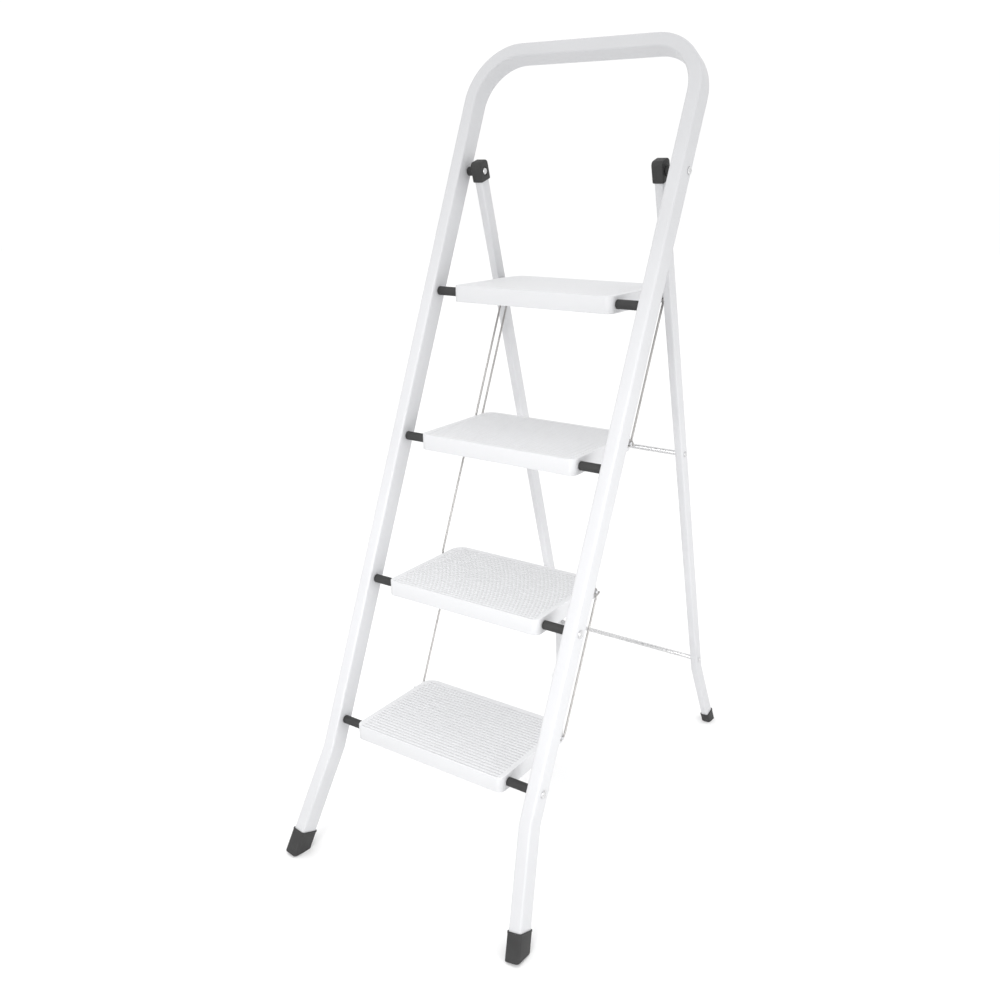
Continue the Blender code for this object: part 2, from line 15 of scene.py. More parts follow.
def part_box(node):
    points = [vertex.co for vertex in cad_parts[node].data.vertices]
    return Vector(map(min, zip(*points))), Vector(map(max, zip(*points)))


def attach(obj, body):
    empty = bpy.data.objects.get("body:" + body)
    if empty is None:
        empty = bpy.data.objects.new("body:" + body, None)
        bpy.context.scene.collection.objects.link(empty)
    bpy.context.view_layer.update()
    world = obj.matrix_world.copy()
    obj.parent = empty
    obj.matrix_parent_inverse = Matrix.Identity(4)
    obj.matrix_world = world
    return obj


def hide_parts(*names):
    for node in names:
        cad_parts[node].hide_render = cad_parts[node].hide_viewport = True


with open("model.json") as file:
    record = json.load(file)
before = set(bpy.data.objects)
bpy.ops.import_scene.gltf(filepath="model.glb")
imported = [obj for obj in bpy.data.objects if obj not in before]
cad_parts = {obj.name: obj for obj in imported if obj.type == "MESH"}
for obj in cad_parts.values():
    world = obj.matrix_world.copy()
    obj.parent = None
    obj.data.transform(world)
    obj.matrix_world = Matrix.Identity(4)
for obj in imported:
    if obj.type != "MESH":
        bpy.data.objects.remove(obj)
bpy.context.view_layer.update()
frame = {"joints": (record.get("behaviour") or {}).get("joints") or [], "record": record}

RECORD = frame["record"]
BODY_OF = {node: body for body, nodes in RECORD["behaviour"]["bodies"].items() for node in nodes}
PIVOTS = {joint["name"]: Vector(joint["pos_m"]) for joint in frame["joints"] if "pos_m" in joint}

TREADS = ("tread_1", "tread_2", "tread_3", "platform")
AXLES = [PIVOTS[f"{name}_fold"] for name in TREADS]
HINGE = PIVOTS["rear_fold"]
ROD_OFFSET = PIVOTS["links_1_2_swing"] - AXLES[1]
SIDES = {"left": -1, "right": 1}
X_AXIS = Vector((1, 0, 0))
GAP = 0.0003  # running clearance between pieces

# Sizes that the part states, in metres, angles in radians
RAIL_X, RAIL_WIDTH, RAIL_DEPTH, RAIL_EDGE = 0.2015, 0.022, 0.0344, 0.0035
BAR_HEIGHT, BAR_CORNER = 1.398, 0.080
FRONT_SPLAY_START, FRONT_FOOT_X = 0.200, 0.2315
LEG_X, LEG_WIDTH, LEG_DEPTH, LEG_EDGE = 0.1665, 0.015, 0.022, 0.003
LEG_TOP, REAR_SPLAY_START, REAR_FOOT_X = 0.012, 1.012, 0.186
SPLAY_RADIUS = 0.060
FOOT_WALL, FOOT_FLOOR = 0.0015, 0.010
SOLE_RISE, TOE_SLOPE, SIDE_SLOPE = 0.00175, math.radians(8), math.radians(9)
FRONT_FOOT_HEIGHT, REAR_FOOT_HEIGHT = 0.043, 0.024
TREAD_HALF, TREAD_FRONT, TREAD_BACK = 0.1482, 0.019, 0.181
TREAD_TOP, TREAD_SKIRT, TREAD_WALL = 0.0128, 0.0137, 0.0028
TREAD_FRONT_CORNER, TREAD_REAR_CORNER = 0.012, 0.022
AXLE_RADIUS, SPACER_RADIUS = 0.004, 0.0073
HINGE_PIN_RADIUS, COLLAR_RADIUS, CAP_WALL, CAP_DOWN, CAP_UP = 0.0032, 0.0073, 0.0018, 0.0155, 0.0168
CROSSBAR_RADIUS, CROSSBAR_NECK, SLIDE_BAR_RADIUS, ROD_RADIUS = 0.0045, 0.0032, 0.003, 0.0025
LINK_LANES = (0.1512, 0.1553, 0.1512)  # x of each pair of links, from the lowest
LINK_FACING = (1, -1, 1)  # its straight part runs behind its rods (1) or in front of them (-1)
LINK_WIRE, HOOK_BEND, LOOP_BEND, LINK_BACK = 0.0018, 0.0125, 0.0095, 0.002
ROD_OVERHANG = 0.0014
RIVETED = ("tread_1", "tread_2")

# Details that the part leaves out or makes plainer, in metres unless a comment says otherwise
HOOK_TURN = 150  # degrees that a hook bends through
TIP, TIP_RADIUS = 0.0006, LINK_WIRE * 0.72  # softened end of a wire
SOLE_GROOVE_PITCH, SOLE_GROOVE_HALF, SOLE_GROOVE_DEPTH = 0.008, 0.0011, 0.0009
SOLE_EDGE = 0.0016
AXLE_HEAD = (0.0068, 0.0028)  # radius and rise of a domed head
PIN_HEAD, PIN_INNER_HEAD = (0.0062, 0.0024), (0.0052, 0.0030)
CROSSBAR_HEAD = (0.0050, 0.0022)
CAP_TOP_ROUND, CAP_EDGE = 0.007, 0.0022
RIB_PITCH, GROOVES = 0.00734, 26
GROOVE_WIDTH, GROOVE_DEPTH = 0.0032, 0.0019
GROOVE_PROFILE = (  # inset from the groove's edge and depth, from the top down
    (-0.0001, 0),
    (0, 0),
    (0.0002, 0.0001),
    (0.0004, 0.0004),
    (0.0007, GROOVE_DEPTH * 0.8),
    (0.0011, GROOVE_DEPTH),
)
FIELD_FRONT, FIELD_INSET = -0.0153, 0.0085
STIFFENERS_ACROSS, STIFFENERS_ALONG = (0.045, 0.095), (-0.075, 0.0, 0.075)
SEAT_TURN = math.radians(-38)  # slope of the platform's notch for the slide bar
SMOOTH_BELOW = math.radians(35)  # edges sharper than this stay sharp


def tube_frame(origin, up):
    """Axes of a leaning frame: x across, y along the tube, z square to it on its front side."""
    return Matrix.Translation(origin) @ Matrix((X_AXIS, up, X_AXIS.cross(up))).transposed().to_4x4()


def middle(node):
    low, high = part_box(node)
    return (low + high) / 2


RAIL_UP = (AXLES[3] - AXLES[0]).normalized()
RAIL_FRAME = tube_frame(AXLES[0] - RAIL_UP * (AXLES[0].z / RAIL_UP.z), RAIL_UP)
LEG_UP = HINGE - middle("rear_crossbar_lower")
LEG_UP = Vector((0, LEG_UP.y, LEG_UP.z)).normalized()
LEG_FRAME = tube_frame(HINGE, LEG_UP)
REAR_FOOT_FRAME = tube_frame(HINGE - LEG_UP * (HINGE.z / LEG_UP.z), LEG_UP)


# Camera and light


def make_camera():
    data = bpy.data.cameras.new("camera")
    data.lens = 35.79
    data.sensor_width = 36
    data.shift_y = 0.0767
    camera = bpy.data.objects.new("camera", data)
    bpy.context.scene.collection.objects.link(camera)
    yaw, pitch, roll = (math.radians(a) for a in (34.3145, -22.3028, -0.1953))
    turn = Matrix.Rotation(yaw, 4, "Z") @ Matrix.Rotation(math.pi / 2 + pitch, 4, "X")
    camera.matrix_world = (
        Matrix.Translation((0.8755, -1.3967, 1.1106)) @ turn @ Matrix.Rotation(roll, 4, "Z")
    )
    bpy.context.scene.camera = camera


def area_light(name, location, target, size, power, spread):
    data = bpy.data.lights.new(name, "AREA")
    data.shape = "RECTANGLE"
    data.size, data.size_y = size
    data.energy = power
    data.spread = math.radians(spread)
    light = bpy.data.objects.new(name, data)
    light.location = location
    direction = Vector(target) - Vector(location)
    light.rotation_euler = direction.to_track_quat("-Z", "Y").to_euler()
    light.visible_camera = False
    bpy.context.scene.collection.objects.link(light)


def make_light():
    world = bpy.data.worlds.new("studio")
    world.use_nodes = True
    nodes, wires = world.node_tree.nodes, world.node_tree.links
    height = nodes.new("ShaderNodeSeparateXYZ")
    wires.new(nodes.new("ShaderNodeTexCoord").outputs["Generated"], height.inputs[0])
    glow = nodes.new("ShaderNodeMapRange")
    wires.new(height.outputs["Z"], glow.inputs["Value"])
    glow.inputs["To Min"].default_value = 1.01
    glow.inputs["To Max"].default_value = 1.235
    background = nodes["Background"]
    background.inputs["Color"].default_value = (1, 1, 1, 1)
    wires.new(glow.outputs["Result"], background.inputs["Strength"])
    bpy.context.scene.world = world
    area_light("high", (0.4, -2.4, 1.9), (0, -0.1, 0.4), (1.2, 0.8), 2.5, 50)
    area_light("low", (0.6, -2.2, 0.5), (0, 0, 0.5), (1.4, 0.4), 0.65, 45)
    area_light("right", (1.9, -0.5, 0.5), (0, -0.2, 0.5), (1.0, 0.4), 1.5, 55)
    bpy.context.scene.view_settings.view_transform = "Standard"


def make_floor():
    mesh = bpy.data.meshes.new("floor")
    reach = 14
    corners = [(-reach, -reach, 0), (reach, -reach, 0), (reach, reach, 0), (-reach, reach, 0)]
    mesh.from_pydata(corners, [], [(0, 1, 2, 3)])
    floor = bpy.data.objects.new("floor", mesh)
    bpy.context.scene.collection.objects.link(floor)
    paper = bpy.data.materials.new("floor_paper")
    paper.use_nodes = True
    shader = paper.node_tree.nodes["Principled BSDF"]
    shader.inputs["Base Color"].default_value = (0.94, 0.94, 0.94, 1)
    shader.inputs["Roughness"].default_value = 0.9
    shader.inputs["Specular IOR Level"].default_value = 0.1
    mesh.materials.append(paper)


# Materials


class Nodes:
    """A material's nodes, added and wired by name."""

    def __init__(self, name):
        self.material = bpy.data.materials.new(name)
        self.material.use_nodes = True
        self.tree = self.material.node_tree
        self.shader = self.tree.nodes["Principled BSDF"]

    def add(self, kind, inputs=(), **settings):
        node = self.tree.nodes.new(kind)
        for key, value in settings.items():
            setattr(node, key, value)
        for socket, value in dict(inputs).items():
            self.set(node.inputs[socket], value)
        return node

    def set(self, socket, value):
        if isinstance(value, bpy.types.NodeSocket):
            self.tree.links.new(value, socket)
        else:
            socket.default_value = value

    def noise(self, scale, detail=2.0, roughness=0.5, stretch=(1, 1, 1)):
        place = self.add("ShaderNodeTexCoord").outputs["Object"]
        place = self.add("ShaderNodeMapping", {"Vector": place, "Scale": stretch}).outputs[0]
        inputs = {"Vector": place, "Scale": scale, "Detail": detail, "Roughness": roughness}
        return self.add("ShaderNodeTexNoise", inputs).outputs["Fac"]

    def ranged(self, value, low, high, out_low, out_high):
        inputs = {
            "Value": value,
            "From Min": low,
            "From Max": high,
            "To Min": out_low,
            "To Max": out_high,
        }
        return self.add("ShaderNodeMapRange", inputs).outputs["Result"]

    def colour_between(self, factor, first, second):
        mix = self.add("ShaderNodeMix", data_type="RGBA")
        self.set(mix.inputs["Factor"], factor)
        self.set(mix.inputs[6], (*first, 1))
        self.set(mix.inputs[7], (*second, 1))
        return mix.outputs[2]

    def base_between(self, factor, first, second):
        self.set(self.shader.inputs["Base Color"], self.colour_between(factor, first, second))

    def bump(self, layers):
        """Stacked bumps, each (height, strength, distance), into the shader's normal."""
        normal = None
        for height, strength, distance in layers:
            inputs = {"Height": height, "Strength": strength, "Distance": distance}
            node = self.add("ShaderNodeBump", inputs)
            if normal is not None:
                self.set(node.inputs["Normal"], normal)
            normal = node.outputs["Normal"]
        self.set(self.shader.inputs["Normal"], normal)

    def uniform(self, **values):
        for socket, value in values.items():
            self.shader.inputs[socket.replace("_", " ")].default_value = value


def powder_coat():
    """White powder coat: a fine orange peel and a faint drift in tone and gloss."""
    m = Nodes("powder_coat")
    drift = m.noise(7.0, detail=3.0)
    speck = m.noise(900.0, detail=2.0)
    blend = m.ranged(drift, 0.35, 0.65, 0, 1)
    m.base_between(blend, (0.555, 0.558, 0.571), (0.575, 0.578, 0.591))
    m.set(m.shader.inputs["Roughness"], m.ranged(speck, 0.3, 0.7, 0.36, 0.46))
    m.bump([(m.noise(420.0, detail=1.5), 0.10, 0.0006), (speck, 0.06, 0.0003)])
    return m.material


def moulded_white():
    """White moulded plastic with a fine matt grain, and painted light: faces that point up get a
    paler base colour than the sides.
    """
    m = Nodes("moulded_white")
    drift = m.noise(5.0, detail=2.0)
    grain = m.noise(1400.0, detail=3.0, roughness=0.6)
    # Painted light: the base colour turns paler as a face points up, standing in for the light on
    # the tops.
    facing = m.add("ShaderNodeSeparateXYZ", {0: m.add("ShaderNodeTexCoord").outputs["Normal"]})
    painted_top_light_mask = m.ranged(facing.outputs["Z"], 0.7, 0.98, 0, 1)
    side = m.colour_between(drift, (0.574, 0.577, 0.588), (0.598, 0.601, 0.612))
    top = m.colour_between(drift, (0.676, 0.679, 0.690), (0.700, 0.703, 0.714))
    mix = m.add("ShaderNodeMix", {"Factor": painted_top_light_mask, 6: side, 7: top}, data_type="RGBA")
    m.set(m.shader.inputs["Base Color"], mix.outputs[2])
    m.set(m.shader.inputs["Roughness"], m.ranged(grain, 0.3, 0.7, 0.48, 0.60))
    m.bump([(grain, 0.12, 0.0003)])
    return m.material


def moulded_black():
    """Black moulded plastic with an even grain."""
    m = Nodes("moulded_black")
    grain = m.noise(1100.0, detail=3.0, roughness=0.65)
    drift = m.noise(40.0, detail=2.0)
    blend = m.ranged(drift, 0.3, 0.7, 0, 1)
    m.base_between(blend, (0.030, 0.030, 0.030), (0.038, 0.038, 0.038))
    m.set(m.shader.inputs["Roughness"], m.ranged(grain, 0.3, 0.7, 0.50, 0.66))
    m.uniform(Specular_IOR_Level=0.3)
    m.bump([(grain, 0.22, 0.0004)])
    return m.material


def zinc_plate():
    """Zinc plate of the link wires and the slide bar, with fine drawing marks."""
    m = Nodes("zinc_plate")
    cloud = m.noise(60.0, detail=3.0)
    marks = m.noise(1600.0, detail=2.0, stretch=(0.2, 1, 1))
    m.base_between(m.ranged(cloud, 0.3, 0.7, 0, 1), (0.35, 0.34, 0.333), (0.44, 0.43, 0.423))
    m.set(m.shader.inputs["Roughness"], m.ranged(cloud, 0.3, 0.7, 0.42, 0.54))
    m.uniform(Metallic=1.0)
    m.bump([(marks, 0.10, 0.0002)])
    return m.material


def rivet_steel():
    """Pale plated steel of the axles, the hinge pins, their heads and the rear crossbars."""
    m = Nodes("rivet_steel")
    cloud = m.noise(220.0, detail=3.0)
    m.base_between(m.ranged(cloud, 0.3, 0.7, 0, 1), (0.56, 0.56, 0.565), (0.66, 0.66, 0.665))
    m.set(m.shader.inputs["Roughness"], m.ranged(cloud, 0.3, 0.7, 0.22, 0.34))
    m.uniform(Metallic=0.75)
    m.bump([(m.noise(1500.0, detail=2.0), 0.08, 0.0002)])
    return m.material


# Mesh tools


def new_object(name, shape, matrix=None):
    """A bmesh as an object, its faces pointing out, smooth but for its sharp edges."""
    bmesh.ops.recalc_face_normals(shape, faces=shape.faces)
    mesh = bpy.data.meshes.new(name)
    shape.to_mesh(mesh)
    shape.free()
    if matrix is not None:
        mesh.transform(matrix)
    mesh.shade_smooth()
    mesh.set_sharp_from_angle(angle=SMOOTH_BELOW)
    obj = bpy.data.objects.new(name, mesh)
    bpy.context.scene.collection.objects.link(obj)
    return obj


def skin(shape, rings, around=False, caps=True):
    """Faces between rings of points, each ring as long as the next."""
    loops = [[shape.verts.new(point) for point in ring] for ring in rings]
    pairs = list(zip(loops, loops[1:]))
    if around:
        pairs.append((loops[-1], loops[0]))
    for low, high in pairs:
        for i, vert in enumerate(low):
            j = (i + 1) % len(low)
            shape.faces.new((vert, low[j], high[j], high[i]))
    if caps and not around:
        shape.faces.new(loops[0])
        shape.faces.new(loops[-1])
    return loops


def loft(name, rings, around=False):
    shape = bmesh.new()
    skin(shape, rings, around)
    return new_object(name, shape)


def arc(centre, radius, start, end, steps):
    points = []
    for i in range(steps + 1):
        angle = math.radians(start + (end - start) * i / steps)
        points.append(
            Vector((centre[0] + radius * math.cos(angle), centre[1] + radius * math.sin(angle)))
        )
    return points


def rounded_section(width, depth, radius, steps=5):
    x, y = width / 2 - radius, depth / 2 - radius
    points = []
    for quarter, (sx, sy) in enumerate(((1, 1), (-1, 1), (-1, -1), (1, -1))):
        start = 90 * quarter
        points += arc((sx * x, sy * y), radius, start, start + 90, steps)
    return points


def cut(target, tool, operation="DIFFERENCE"):
    """Applies a Boolean at once and removes its tool."""
    step = target.modifiers.new("cut", "BOOLEAN")
    step.object = tool
    step.operation = operation
    step.solver = "EXACT"
    graph = bpy.context.evaluated_depsgraph_get()
    mesh = bpy.data.meshes.new_from_object(target.evaluated_get(graph))
    target.modifiers.clear()
    target.data = mesh
    bpy.data.objects.remove(tool, do_unlink=True)
    mesh.shade_smooth()
    mesh.set_sharp_from_angle(angle=SMOOTH_BELOW)


def block(name, low, high, matrix=None):
    """A cutting tool: a box between two corners."""
    shape = bmesh.new()
    bmesh.ops.create_cube(shape, size=1)
    low, high = Vector(low), Vector(high)
    bmesh.ops.scale(shape, vec=high - low, verts=shape.verts)
    bmesh.ops.translate(shape, vec=(low + high) / 2, verts=shape.verts)
    return new_object(name, shape, matrix)


def round_ring(centre, radius, across, up, segments):
    ring = []
    for i in range(segments):
        angle = 2 * math.pi * i / segments
        ring.append(centre + across * (radius * math.cos(angle)) + up * (radius * math.sin(angle)))
    return ring


def turned(name, profile, centre, side=1, around=False, segments=32):
    """A profile of (x, radius) turned about an axis along X through a centre."""
    back, up = Vector((0, 1, 0)), Vector((0, 0, 1))
    rings = [
        round_ring(centre + X_AXIS * (side * x), radius, back, up, segments)
        for x, radius in profile
    ]
    return loft(name, rings, around)


def mirrored(half):
    """A profile continued to the other side of x = 0."""
    return [(-x, radius) for x, radius in reversed(half)] + half


def dome(x, radius, rise, steps=6):
    """Profile of a domed head that stands on x, from its short upright rim to near its tip."""
    rim = rise * 0.22
    points = [(x, radius - 0.0002), (x + 0.0002, radius), (x + rim, radius)]
    for i in range(1, steps + 1):
        angle = math.pi / 2 * i / steps
        height = x + rim + (rise - rim) * math.sin(angle)
        points.append((height, max(radius * math.cos(angle), 0.0002)))
    return points


MATERIALS = {}


def dress(obj, node, material):
    """Lets a detailed piece stand for its CAD node."""
    obj.data.materials.clear()
    obj.data.materials.append(MATERIALS[material])
    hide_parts(node)
    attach(obj, BODY_OF[node])
    return obj


# Tubes and feet


def splay_path(x, foot_x, start, steps=10):
    """Right-hand leg from the floor to the top of its splay bend: (across, along) points."""
    slope = math.atan2(foot_x - x, start)
    half = SPLAY_RADIUS * math.tan(slope / 2)
    centre = (x + SPLAY_RADIUS, start + half)
    bend = arc(centre, SPLAY_RADIUS, 180 + math.degrees(slope), 180, steps)
    return [Vector((foot_x, 0))] + bend


def tube_rings(path, section, matrix, floor=None):
    """Section rings square to a flat path. An end with a floor height is cut level there."""
    rings = []
    last = len(path) - 1
    for i, point in enumerate(path):
        before = (point - path[i - 1]).normalized() if i else None
        after = (path[i + 1] - point).normalized() if i < last else None
        along = ((before or after) + (after or before)).normalized()
        stretch = 1 / along.dot(after or before)
        across = Vector((along.y, -along.x)) * stretch
        ring = [
            matrix @ Vector((point.x + across.x * u, point.y + across.y * u, v)) for u, v in section
        ]
        if floor is not None and i in (0, last):
            run = matrix.to_3x3() @ Vector((along.x, along.y, 0))
            ring = [p + run * ((floor - p.z) / run.z) for p in ring]
        rings.append(ring)
    return rings


def front_tube():
    right = splay_path(RAIL_X, FRONT_FOOT_X, FRONT_SPLAY_START)
    right += arc((RAIL_X - BAR_CORNER, BAR_HEIGHT - BAR_CORNER), BAR_CORNER, 0, 90, 28)
    left = [Vector((-p.x, p.y)) for p in reversed(right)]
    section = rounded_section(RAIL_WIDTH, RAIL_DEPTH, RAIL_EDGE)
    rings = tube_rings(right + left, section, RAIL_FRAME, FOOT_FLOOR)
    dress(loft("front_frame_tube", rings), "front_frame", "powder_coat")


def rear_tubes():
    drop = HINGE.z / LEG_UP.z
    section = rounded_section(LEG_WIDTH, LEG_DEPTH, LEG_EDGE)
    for label, side in SIDES.items():
        path = splay_path(LEG_X, REAR_FOOT_X, drop - REAR_SPLAY_START)
        path.append(Vector((LEG_X, drop + LEG_TOP - 0.001)))
        path = [Vector((side * p.x, p.y)) for p in path]
        rings = tube_rings(path, section, REAR_FOOT_FRAME)
        run = (rings[1][0] - rings[0][0]).normalized()
        rings[0] = [p + run * ((FOOT_FLOOR - p.z) / run.z) for p in rings[0]]
        name = f"rear_leg_{label}"
        dress(loft(f"{name}_tube", rings), name, "powder_coat")


def foot(node, side, leg, matrix, tilt=(0, 0), rise=0):
    """A moulded sleeve: rounded sole, slight lip at its mouth, and a socket for the tube.

    The leg is given by its place, its foot's place, where its splay starts, its section and the
    sleeve's height. The sole rises by the tilt's two slopes, toward the toe and the outer side.
    """
    x, foot_x, start, width, depth, edge, height = leg
    toe = matrix @ Vector((side * foot_x, 0, 0))
    up = (matrix @ Vector((side * x, start, 0)) - toe).normalized()
    front = matrix.to_3x3() @ Vector((0, 0, 1))
    across = up.cross(front)
    slope = Vector((side * math.tan(tilt[1]), -math.tan(tilt[0]), 0))

    def ring(grow, along=None, level=None, plane=Vector()):
        section = rounded_section(width + 2 * grow, depth + 2 * grow, max(edge + grow, 0.0006))
        points = []
        for u, v in section:
            point = toe + across * u + front * v
            if level is not None:
                along = (level + plane.dot(point - toe) - point.z) / (up.z - plane.dot(up))
            points.append(point + up * along)
        return points

    outer = GAP + FOOT_WALL
    rings = [ring(outer - SOLE_EDGE, level=rise, plane=slope)]
    for i in range(1, 5):
        angle = math.pi / 2 * i / 4
        grow = outer - SOLE_EDGE * (1 - math.sin(angle))
        rings.append(ring(grow, level=rise + SOLE_EDGE * (1 - math.cos(angle)), plane=slope))
    rings += [
        ring(outer, along=height - 0.0036),
        ring(outer, along=height - 0.0032),
        ring(outer + 0.0005, along=height - 0.0027),
        ring(outer + 0.0006, along=height - 0.0006),
        ring(outer + 0.0002, along=height),
        ring(GAP + 0.0004, along=height),
        ring(GAP, along=height - 0.0004),
        ring(GAP, level=FOOT_FLOOR - GAP),
    ]
    sleeve = loft(f"{node}_sleeve", rings)
    sole_middle = Matrix.Translation(toe + Vector((0, 0, rise)))
    turn = Matrix.Rotation(-side * tilt[1], 4, "Y") @ Matrix.Rotation(-tilt[0], 4, "X")
    for number in range(-1, 2):
        y = number * SOLE_GROOVE_PITCH
        low = (-0.05, y - SOLE_GROOVE_HALF, -0.001)
        high = (0.05, y + SOLE_GROOVE_HALF, SOLE_GROOVE_DEPTH)
        cut(sleeve, block("groove", low, high, sole_middle @ turn))
    if rise:
        cut(sleeve, block("floor", (-0.4, -0.6, -0.1), (0.4, 0.6, 0)))
    dress(sleeve, node, "moulded_black")


def feet():
    rail = (RAIL_WIDTH, RAIL_DEPTH, RAIL_EDGE)
    leg = (LEG_WIDTH, LEG_DEPTH, LEG_EDGE)
    start = HINGE.z / LEG_UP.z - REAR_SPLAY_START
    front = (RAIL_X, FRONT_FOOT_X, FRONT_SPLAY_START, *rail, FRONT_FOOT_HEIGHT)
    rear = (LEG_X, REAR_FOOT_X, start, *leg, REAR_FOOT_HEIGHT)
    tilt = (TOE_SLOPE, SIDE_SLOPE)
    for label, side in SIDES.items():
        foot(f"front_foot_{label}", side, front, RAIL_FRAME, tilt, SOLE_RISE)
        foot(f"rear_foot_{label}", side, rear, REAR_FOOT_FRAME)


# Hinges, axles, bars


def axles_and_spacers():
    rail_inside = RAIL_X - RAIL_WIDTH / 2
    rail_outside = RAIL_X + RAIL_WIDTH / 2
    for axle, name in zip(AXLES, TREADS):
        if name in RIVETED:
            half = [(rail_outside + GAP, AXLE_RADIUS)]
            half += dome(rail_outside + GAP, *AXLE_HEAD)
        else:
            end = rail_inside + 0.0044
            half = [(end - 0.0005, AXLE_RADIUS), (end, AXLE_RADIUS - 0.0005)]
        profile = mirrored(half)
        dress(turned(f"step_axle_{name}_rod", profile, axle), f"step_axle_{name}", "rivet_steel")
        inner, outer = TREAD_HALF + GAP, rail_inside - GAP
        bore = AXLE_RADIUS + GAP
        profile = [
            (inner, bore),
            (inner, SPACER_RADIUS - 0.0013),
            (inner + 0.0002, SPACER_RADIUS - 0.0007),
            (inner + 0.0006, SPACER_RADIUS - 0.0002),
            (inner + 0.0013, SPACER_RADIUS),
            (outer - 0.0013, SPACER_RADIUS),
            (outer - 0.0006, SPACER_RADIUS - 0.0002),
            (outer - 0.0002, SPACER_RADIUS - 0.0007),
            (outer, SPACER_RADIUS - 0.0013),
            (outer, bore),
        ]
        for label, side in SIDES.items():
            node = f"axle_spacer_{name}_{label}"
            dress(turned(f"{node}_sleeve", profile, axle, side, around=True), node, "moulded_black")


def hinges():
    rail_inside = RAIL_X - RAIL_WIDTH / 2 - GAP
    outside = RAIL_X + RAIL_WIDTH / 2 + GAP
    cap_inside = LEG_X - LEG_WIDTH / 2 - GAP - CAP_WALL
    cap_outside = LEG_X + LEG_WIDTH / 2 + 2 * GAP + CAP_WALL
    bore = HINGE_PIN_RADIUS + GAP
    for label, side in SIDES.items():
        inner_head = dome(-cap_inside - 0.0009, *PIN_INNER_HEAD)
        profile = [(-x, radius) for x, radius in reversed(inner_head)]
        profile += [(cap_inside + 0.0010, HINGE_PIN_RADIUS), (outside, HINGE_PIN_RADIUS)]
        profile += dome(outside, *PIN_HEAD)
        node = f"hinge_pin_{label}"
        dress(turned(f"{node}_rivet", profile, HINGE, side), node, "rivet_steel")
        profile = [
            (cap_outside, bore),
            (cap_outside, COLLAR_RADIUS - 0.0006),
            (cap_outside + 0.0006, COLLAR_RADIUS),
            (rail_inside - 0.0018, COLLAR_RADIUS),
            (rail_inside - 0.0007, COLLAR_RADIUS - 0.0004),
            (rail_inside, COLLAR_RADIUS - 0.0016),
            (rail_inside, bore),
        ]
        node = f"hinge_collar_{label}"
        dress(turned(f"{node}_bush", profile, HINGE, side, around=True), node, "moulded_black")
        hinge_cap(label, side, bore)


def rounded_block(name, low, high, top_radius, edge):
    """A box whose top is rounded front to back, with all its edges softened."""
    box = block(name, low, high)
    shape = bmesh.new()
    shape.from_mesh(box.data)
    bpy.data.objects.remove(box, do_unlink=True)
    top = [
        e
        for e in shape.edges
        if all(v.co.y > high[1] - 1e-6 for v in e.verts)
        and abs((e.verts[0].co - e.verts[1].co).normalized().x) > 0.9
    ]
    bmesh.ops.bevel(shape, geom=top, offset=top_radius, segments=8, profile=0.5, affect="EDGES")
    sharp = [e for e in shape.edges if e.calc_face_angle(0) > math.radians(40)]
    bmesh.ops.bevel(shape, geom=sharp, offset=edge, segments=3, profile=0.5, affect="EDGES")
    return new_object(name, shape)


def hinge_cap(label, side, bore):
    node = f"hinge_cap_{label}"
    half_width, half_depth = LEG_WIDTH / 2 + GAP, LEG_DEPTH / 2 + GAP
    low = (-half_width - CAP_WALL, -CAP_DOWN, -half_depth - CAP_WALL)
    high = (half_width + CAP_WALL, CAP_UP, half_depth + CAP_WALL)
    cap = rounded_block(f"{node}_cover", low, high, CAP_TOP_ROUND, CAP_EDGE)
    low = (-half_width, -CAP_DOWN - 0.01, -half_depth)
    high = (half_width, LEG_TOP + GAP, half_depth)
    cut(cap, block("pocket", low, high))
    cap.data.transform(LEG_FRAME @ Matrix.Translation((side * LEG_X, 0, 0)))
    cut(cap, turned("hole", [(0.1, bore), (0.3, bore)], HINGE, side))
    inside = LEG_X - half_width - CAP_WALL
    profile = [(inside - 0.002, 0.0072), (inside + 0.0009, 0.0068)]
    cut(cap, turned("recess", profile, HINGE, side))
    dress(cap, node, "moulded_black")


def rear_bars():
    inner = LEG_X - LEG_WIDTH / 2 - GAP
    outer = LEG_X + LEG_WIDTH / 2 + GAP
    half = [
        (inner - 0.0006, CROSSBAR_RADIUS),
        (inner, CROSSBAR_RADIUS - 0.0004),
        (inner, CROSSBAR_NECK),
        (outer, CROSSBAR_NECK),
    ]
    profile = mirrored(half + dome(outer, *CROSSBAR_HEAD))
    for place in ("upper", "lower"):
        node = f"rear_crossbar_{place}"
        rod = turned(f"{node}_rod", profile, middle(node), segments=24)
        dress(rod, node, "rivet_steel")
    half = [(LEG_X - 0.0006, SLIDE_BAR_RADIUS), (LEG_X, SLIDE_BAR_RADIUS - 0.0008)]
    rod = turned("slide_bar_rod", mirrored(half), middle("slide_bar"), segments=24)
    dress(rod, "slide_bar", "zinc_plate")


def link_rods():
    end = max(LINK_LANES) + LINK_WIRE + ROD_OVERHANG
    profile = mirrored([(end - 0.0005, ROD_RADIUS), (end, ROD_RADIUS - 0.0006)])
    for axle, name in zip(AXLES, TREADS):
        node = f"link_rod_{name}"
        rod = turned(f"{node}_pin", profile, axle + ROD_OFFSET, segments=24)
        dress(rod, node, "powder_coat")


# Links


def link_points(pitch, facing, hooked):
    """A link between two rods, the lower one at the origin. x runs to the back, y up the rail."""
    bend = HOOK_BEND if hooked else LOOP_BEND
    play = bend - LINK_WIRE - ROD_RADIUS - 2 * GAP
    rise = math.sqrt(play**2 - LINK_BACK**2)
    low, high = Vector((LINK_BACK, rise)), Vector((LINK_BACK, pitch - rise))
    turn = HOOK_TURN if hooked else 180
    points = arc(low, bend, 360 - turn, 360, 20) + arc(high, bend, 0, turn, 20)
    return [Vector((LINK_BACK + facing * (p.x - LINK_BACK), p.y)) for p in points]


